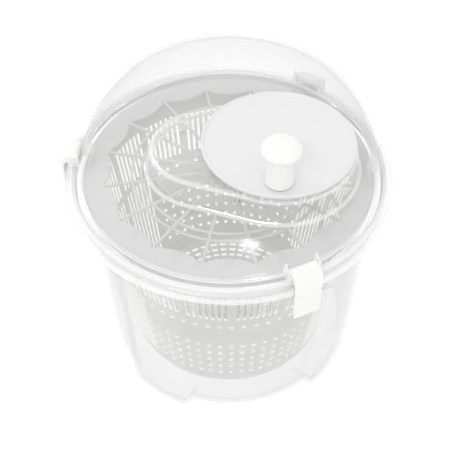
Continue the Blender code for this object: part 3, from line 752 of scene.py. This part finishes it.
# ---------------------------------------------------------------- crank and knob

def make_disc():
    """A flat plate with a raised edge, and the hollow shaft below it that carries the drive gear."""
    low, high = DISC_Z
    edge = [(DISC_R - 2.4, high), (DISC_R - 1.8, high + 0.9), (DISC_R - 0.6, high + 0.9),
            (DISC_R - SKIN, high + 0.2), (DISC_R - SKIN, low + 0.5), (DISC_R - 0.8, low)]
    shaft = [(5.0, low), (5.0, 189.2), (1.9, 189.2), (1.9, 201.0), (0.0, 201.0)]
    profile = rounded([(0.0, high)] + edge + shaft, 0.6)
    verts, faces = loft(turned_loops(profile, (CRANK_X, 0.0), 192))
    piece("crank_plate", verts, faces, DISC_GREY, "crank", ("crank_disc",))


def make_knob():
    """A mushroom head on a waisted stem, bored from below for its pin."""
    top = KNOB_TOP
    head = [(0.0, top), (5.0, top - 0.15), (9.5, top - 0.9), (12.3, top - 2.3), (13.7, top - 4.2),
            (KNOB_R - SKIN, top - 6.0), (13.7, top - 7.8), (12.2, top - 9.2), (10.2, top - 10.2),
            (9.2, top - 11.4), (9.0, top - 15.0), (9.2, top - 22.0), (9.9, top - 30.0), (10.4, 209.9)]
    foot = [head[-1], (10.0, KNOB_FOOT_Z), (KNOB_BORE_R, KNOB_FOOT_Z), (KNOB_BORE_R, KNOB_BORE_Z),
            (0.0, KNOB_BORE_Z)]
    profile = catmull(head, 3) + rounded(foot, 0.4)[1:]
    verts, faces = loft(turned_loops(profile, (KNOB_X, KNOB_Y), 96))
    piece("knob_turned", verts, faces, WHITE, "knob", ("knob",))


# ---------------------------------------------------------------- clips

def clip_outline():
    """Side view of a clip about its pin, with ridges across the thumb pad and a hook behind it."""
    barrel, pad_q, pad_z = 3.2, 10.0, -16.4
    round_end = [(barrel * cos(radians(a)), barrel * sin(radians(a))) for a in range(270, 89, -12)]
    arm = [(0.0, barrel), (4.6, 3.0), (8.2, 1.7), (10.2, -2.4), (10.5, -9.0), (9.9, -14.0), (9.4, -15.2),
           (pad_q, pad_z)]
    ridges = []
    for k in range(CLIP_RIDGES):
        z = pad_z - 2.0 - 4.2 * k
        q = pad_q + 0.045 * (pad_z - z)
        ridges += [(q, z + 1.1), (q + 0.5, z + 0.5), (q + 0.55, z - 0.5), (q, z - 1.1)]
    pad_end = [(10.7, -33.4), (10.85, -35.6), (10.3, -36.75), (9.2, -36.4), (8.6, -32.0)]
    hook = [(8.5, -27.2), (5.9, -26.6), (5.9, -24.9), (8.3, -22.8)]
    inside = [(8.3, -9.0), (7.7, -5.4), (5.9, -3.1), (2.6, -2.75)]
    outward = round_end + rounded(arm, 3.0, 4)[1:] + ridges
    return (outward + rounded(pad_end + hook + inside, 0.8))[::-1]


def make_clips():
    outline = clip_outline()
    for index in CLIPS:
        body = f"clip_{index}"
        verts, faces = prism(outline, -CLIP_W / 2, CLIP_W / 2, clip_frame(index))
        clip = piece(f"clip_moulding_{index}", verts, faces, WHITE, body, (body,))
        bevel(clip, 0.35)


# ---------------------------------------------------------------- bail handle

def bail_section(x, y, facing, half, flange):
    """A shallow channel across the bail at (x, y), its back facing outward and bulging a little."""
    out = Vector((cos(facing), sin(facing), 0.0))
    flat = [(-half, flange), (-half, 0.0), (-half * 0.6, 0.0), (0.0, 0.0), (half * 0.6, 0.0), (half, 0.0),
            (half, flange)]
    points = []
    for across, depth in rounded(flat, 2.4, 4):
        inward = depth + across ** 2 / (2 * BAIL_A)
        points.append(Vector((x, y, across)) - out * inward)
    return points


def bail_tabs(facing):
    """Sections of the rounded tab below one end of the bail, from its tip up to the pivot."""
    sections = []
    for t in range(9):
        a = pi / 2 * t / 8
        half = BAIL_TIP_HALF_W + (BAIL_END_HALF_W - BAIL_TIP_HALF_W) * sin(a)
        x, y = BAIL_A * cos(facing), -BAIL_TAB * cos(a)
        sections.append(bail_section(x, y, facing, half, BAIL_LEAST_FLANGE))
    return sections


def make_bail():
    """Half an ellipse from pivot to pivot, widening quickly from its ends, and leaning back."""
    steps = 120
    sections = bail_tabs(0.0)
    for i in range(1, steps):
        angle = pi * i / steps
        rise = sin(angle)
        half = BAIL_END_HALF_W + (BAIL_HALF_W - BAIL_END_HALF_W) * smooth(rise / 0.85)
        flange = BAIL_LEAST_FLANGE + BAIL_FLANGE * smooth((rise - 0.25) / 0.4)
        sections.append(bail_section(BAIL_A * cos(angle), BAIL_B * rise, angle, half, flange))
    sections += bail_tabs(pi)[::-1]
    yaw = atan2(BAIL_AXIS.y, BAIL_AXIS.x)
    place = (Matrix.Translation((0.0, 0.0, BAIL_Z)) @ Matrix.Rotation(yaw, 4, "Z")
             @ Matrix.Rotation(radians(BAIL_LEAN), 4, "X"))
    across = len(sections[0])
    verts = [place @ point for section in sections for point in section]
    faces = []
    for i in range(len(sections) - 1):
        for j in range(across - 1):
            a, b = i * across + j, (i + 1) * across + j
            faces.append((a, b, b + 1, a + 1))
    shell = piece("bail_shell", verts, faces, CLEAR_BAIL, "handle", ("carry_handle",))
    thicken(shell, BAIL_WALL, even=False)
    bevel(shell, 0.5)


# ---------------------------------------------------------------- carried-over nodes

def finish_cad():
    """Materials for the CAD nodes that stay visible."""
    finishes = {
        "cover_hub": SMOKE_WEB, "gear_base_plate": CLEAR_LID,
        "basket_bush": ACETAL, "drive_gear": ACETAL, "pinion": ACETAL, "crank_bush": ACETAL,
        "crank_washer": STEEL, "crank_screw": STEEL, "knob_pin": STEEL,
    }
    for index in range(1, 5):
        finishes[f"gear_screw_{index}"] = STEEL
    for index in CLIPS:
        finishes[f"clip_pin_{index}"] = STEEL
    for name, material in finishes.items():
        mesh = frame["nodes"][name].data
        mesh.materials.clear()
        mesh.materials.append(material)


# ---------------------------------------------------------------- floor, light and camera

def make_stage():
    """A pale floor just under the feet that glows a little, so that it meets the white surround."""
    nodes = Nodes("floor")
    body = nodes.add("ShaderNodeBsdfPrincipled", Roughness=0.9)
    body.inputs["Base Color"].default_value = (0.48, 0.48, 0.48, 1.0)
    body.inputs["Specular IOR Level"].default_value = 0.0
    body.inputs["Emission Color"].default_value = (1.0, 1.0, 1.0, 1.0)
    body.inputs["Emission Strength"].default_value = 0.57
    material = finish_material(nodes, body.outputs["BSDF"])
    mesh = bpy.data.meshes.new("floor")
    reach = 6.0
    corners = [(-reach, -reach, 0.0), (reach, -reach, 0.0), (reach, reach, 0.0), (-reach, reach, 0.0)]
    mesh.from_pydata(corners, [], [(0, 1, 2, 3)])
    mesh.materials.append(material)
    floor = bpy.data.objects.new("floor", mesh)
    floor.location.z = -0.0005
    bpy.context.scene.collection.objects.link(floor)


def area_light(name, place, target, size, energy):
    light = bpy.data.lights.new(name, "AREA")
    light.shape = "RECTANGLE"
    light.size, light.size_y = size
    light.energy = energy
    obj = bpy.data.objects.new(name, light)
    obj.location = place
    obj.rotation_euler = (Vector(target) - Vector(place)).to_track_quat("-Z", "Y").to_euler()
    bpy.context.scene.collection.objects.link(obj)


def make_lights():
    """A nearly even white surround, dimmer near the horizon, and three narrow lights for streaks."""
    world = bpy.data.worlds.new("studio")
    world.use_nodes = True
    tree = world.node_tree
    coord = tree.nodes.new("ShaderNodeTexCoord")
    split = tree.nodes.new("ShaderNodeSeparateXYZ")
    span = tree.nodes.new("ShaderNodeMapRange")
    span.inputs["From Min"].default_value = -0.1
    span.inputs["From Max"].default_value = 0.7
    span.inputs["To Min"].default_value = 0.985
    span.inputs["To Max"].default_value = 1.0
    background = tree.nodes["Background"]
    tree.links.new(coord.outputs["Generated"], split.inputs["Vector"])
    tree.links.new(split.outputs["Z"], span.inputs["Value"])
    tree.links.new(span.outputs["Result"], background.inputs["Strength"])
    background.inputs["Color"].default_value = (1.0, 1.0, 1.0, 1.0)
    bpy.context.scene.world = world
    middle = (0.0, 0.0, 0.12)
    area_light("front_strip", (-0.35, -1.1, 1.35), middle, (0.9, 0.05), 4.0)
    area_light("back_strip", (0.07, 0.86, 1.25), middle, (0.05, 0.03), 0.16)
    area_light("side_strip", (-0.75, 0.55, 1.0), middle, (0.05, 0.5), 1.0)


def make_camera():
    """Elevation about 44 degrees, in front of the side where the knob rests, a little to the left."""
    reach = 5.73 * WEB_R * MM
    elevation, pitch = radians(43.6), radians(47.8)
    data = bpy.data.cameras.new("camera")
    data.sensor_width = 36.0
    data.lens = 66.5
    camera = bpy.data.objects.new("camera", data)
    aside = -0.0028
    camera.location = (aside, -reach * cos(elevation), RIM_TOP_Z * MM + reach * sin(elevation))
    camera.rotation_euler = (pi / 2 - pitch, 0.0, 0.0)
    bpy.context.scene.collection.objects.link(camera)
    bpy.context.scene.camera = camera


make_camera()
make_stage()
make_lights()
make_bowl()
make_basket_wall()
make_basket_floor()
make_web()
make_lid()
make_ears()
make_lugs()
make_pivots()
make_gasket()
make_disc()
make_knob()
make_clips()
make_bail()
finish_cad()
bpy.context.scene.view_settings.view_transform = "Standard"
bpy.context.scene.cycles.transparent_max_bounces = 32
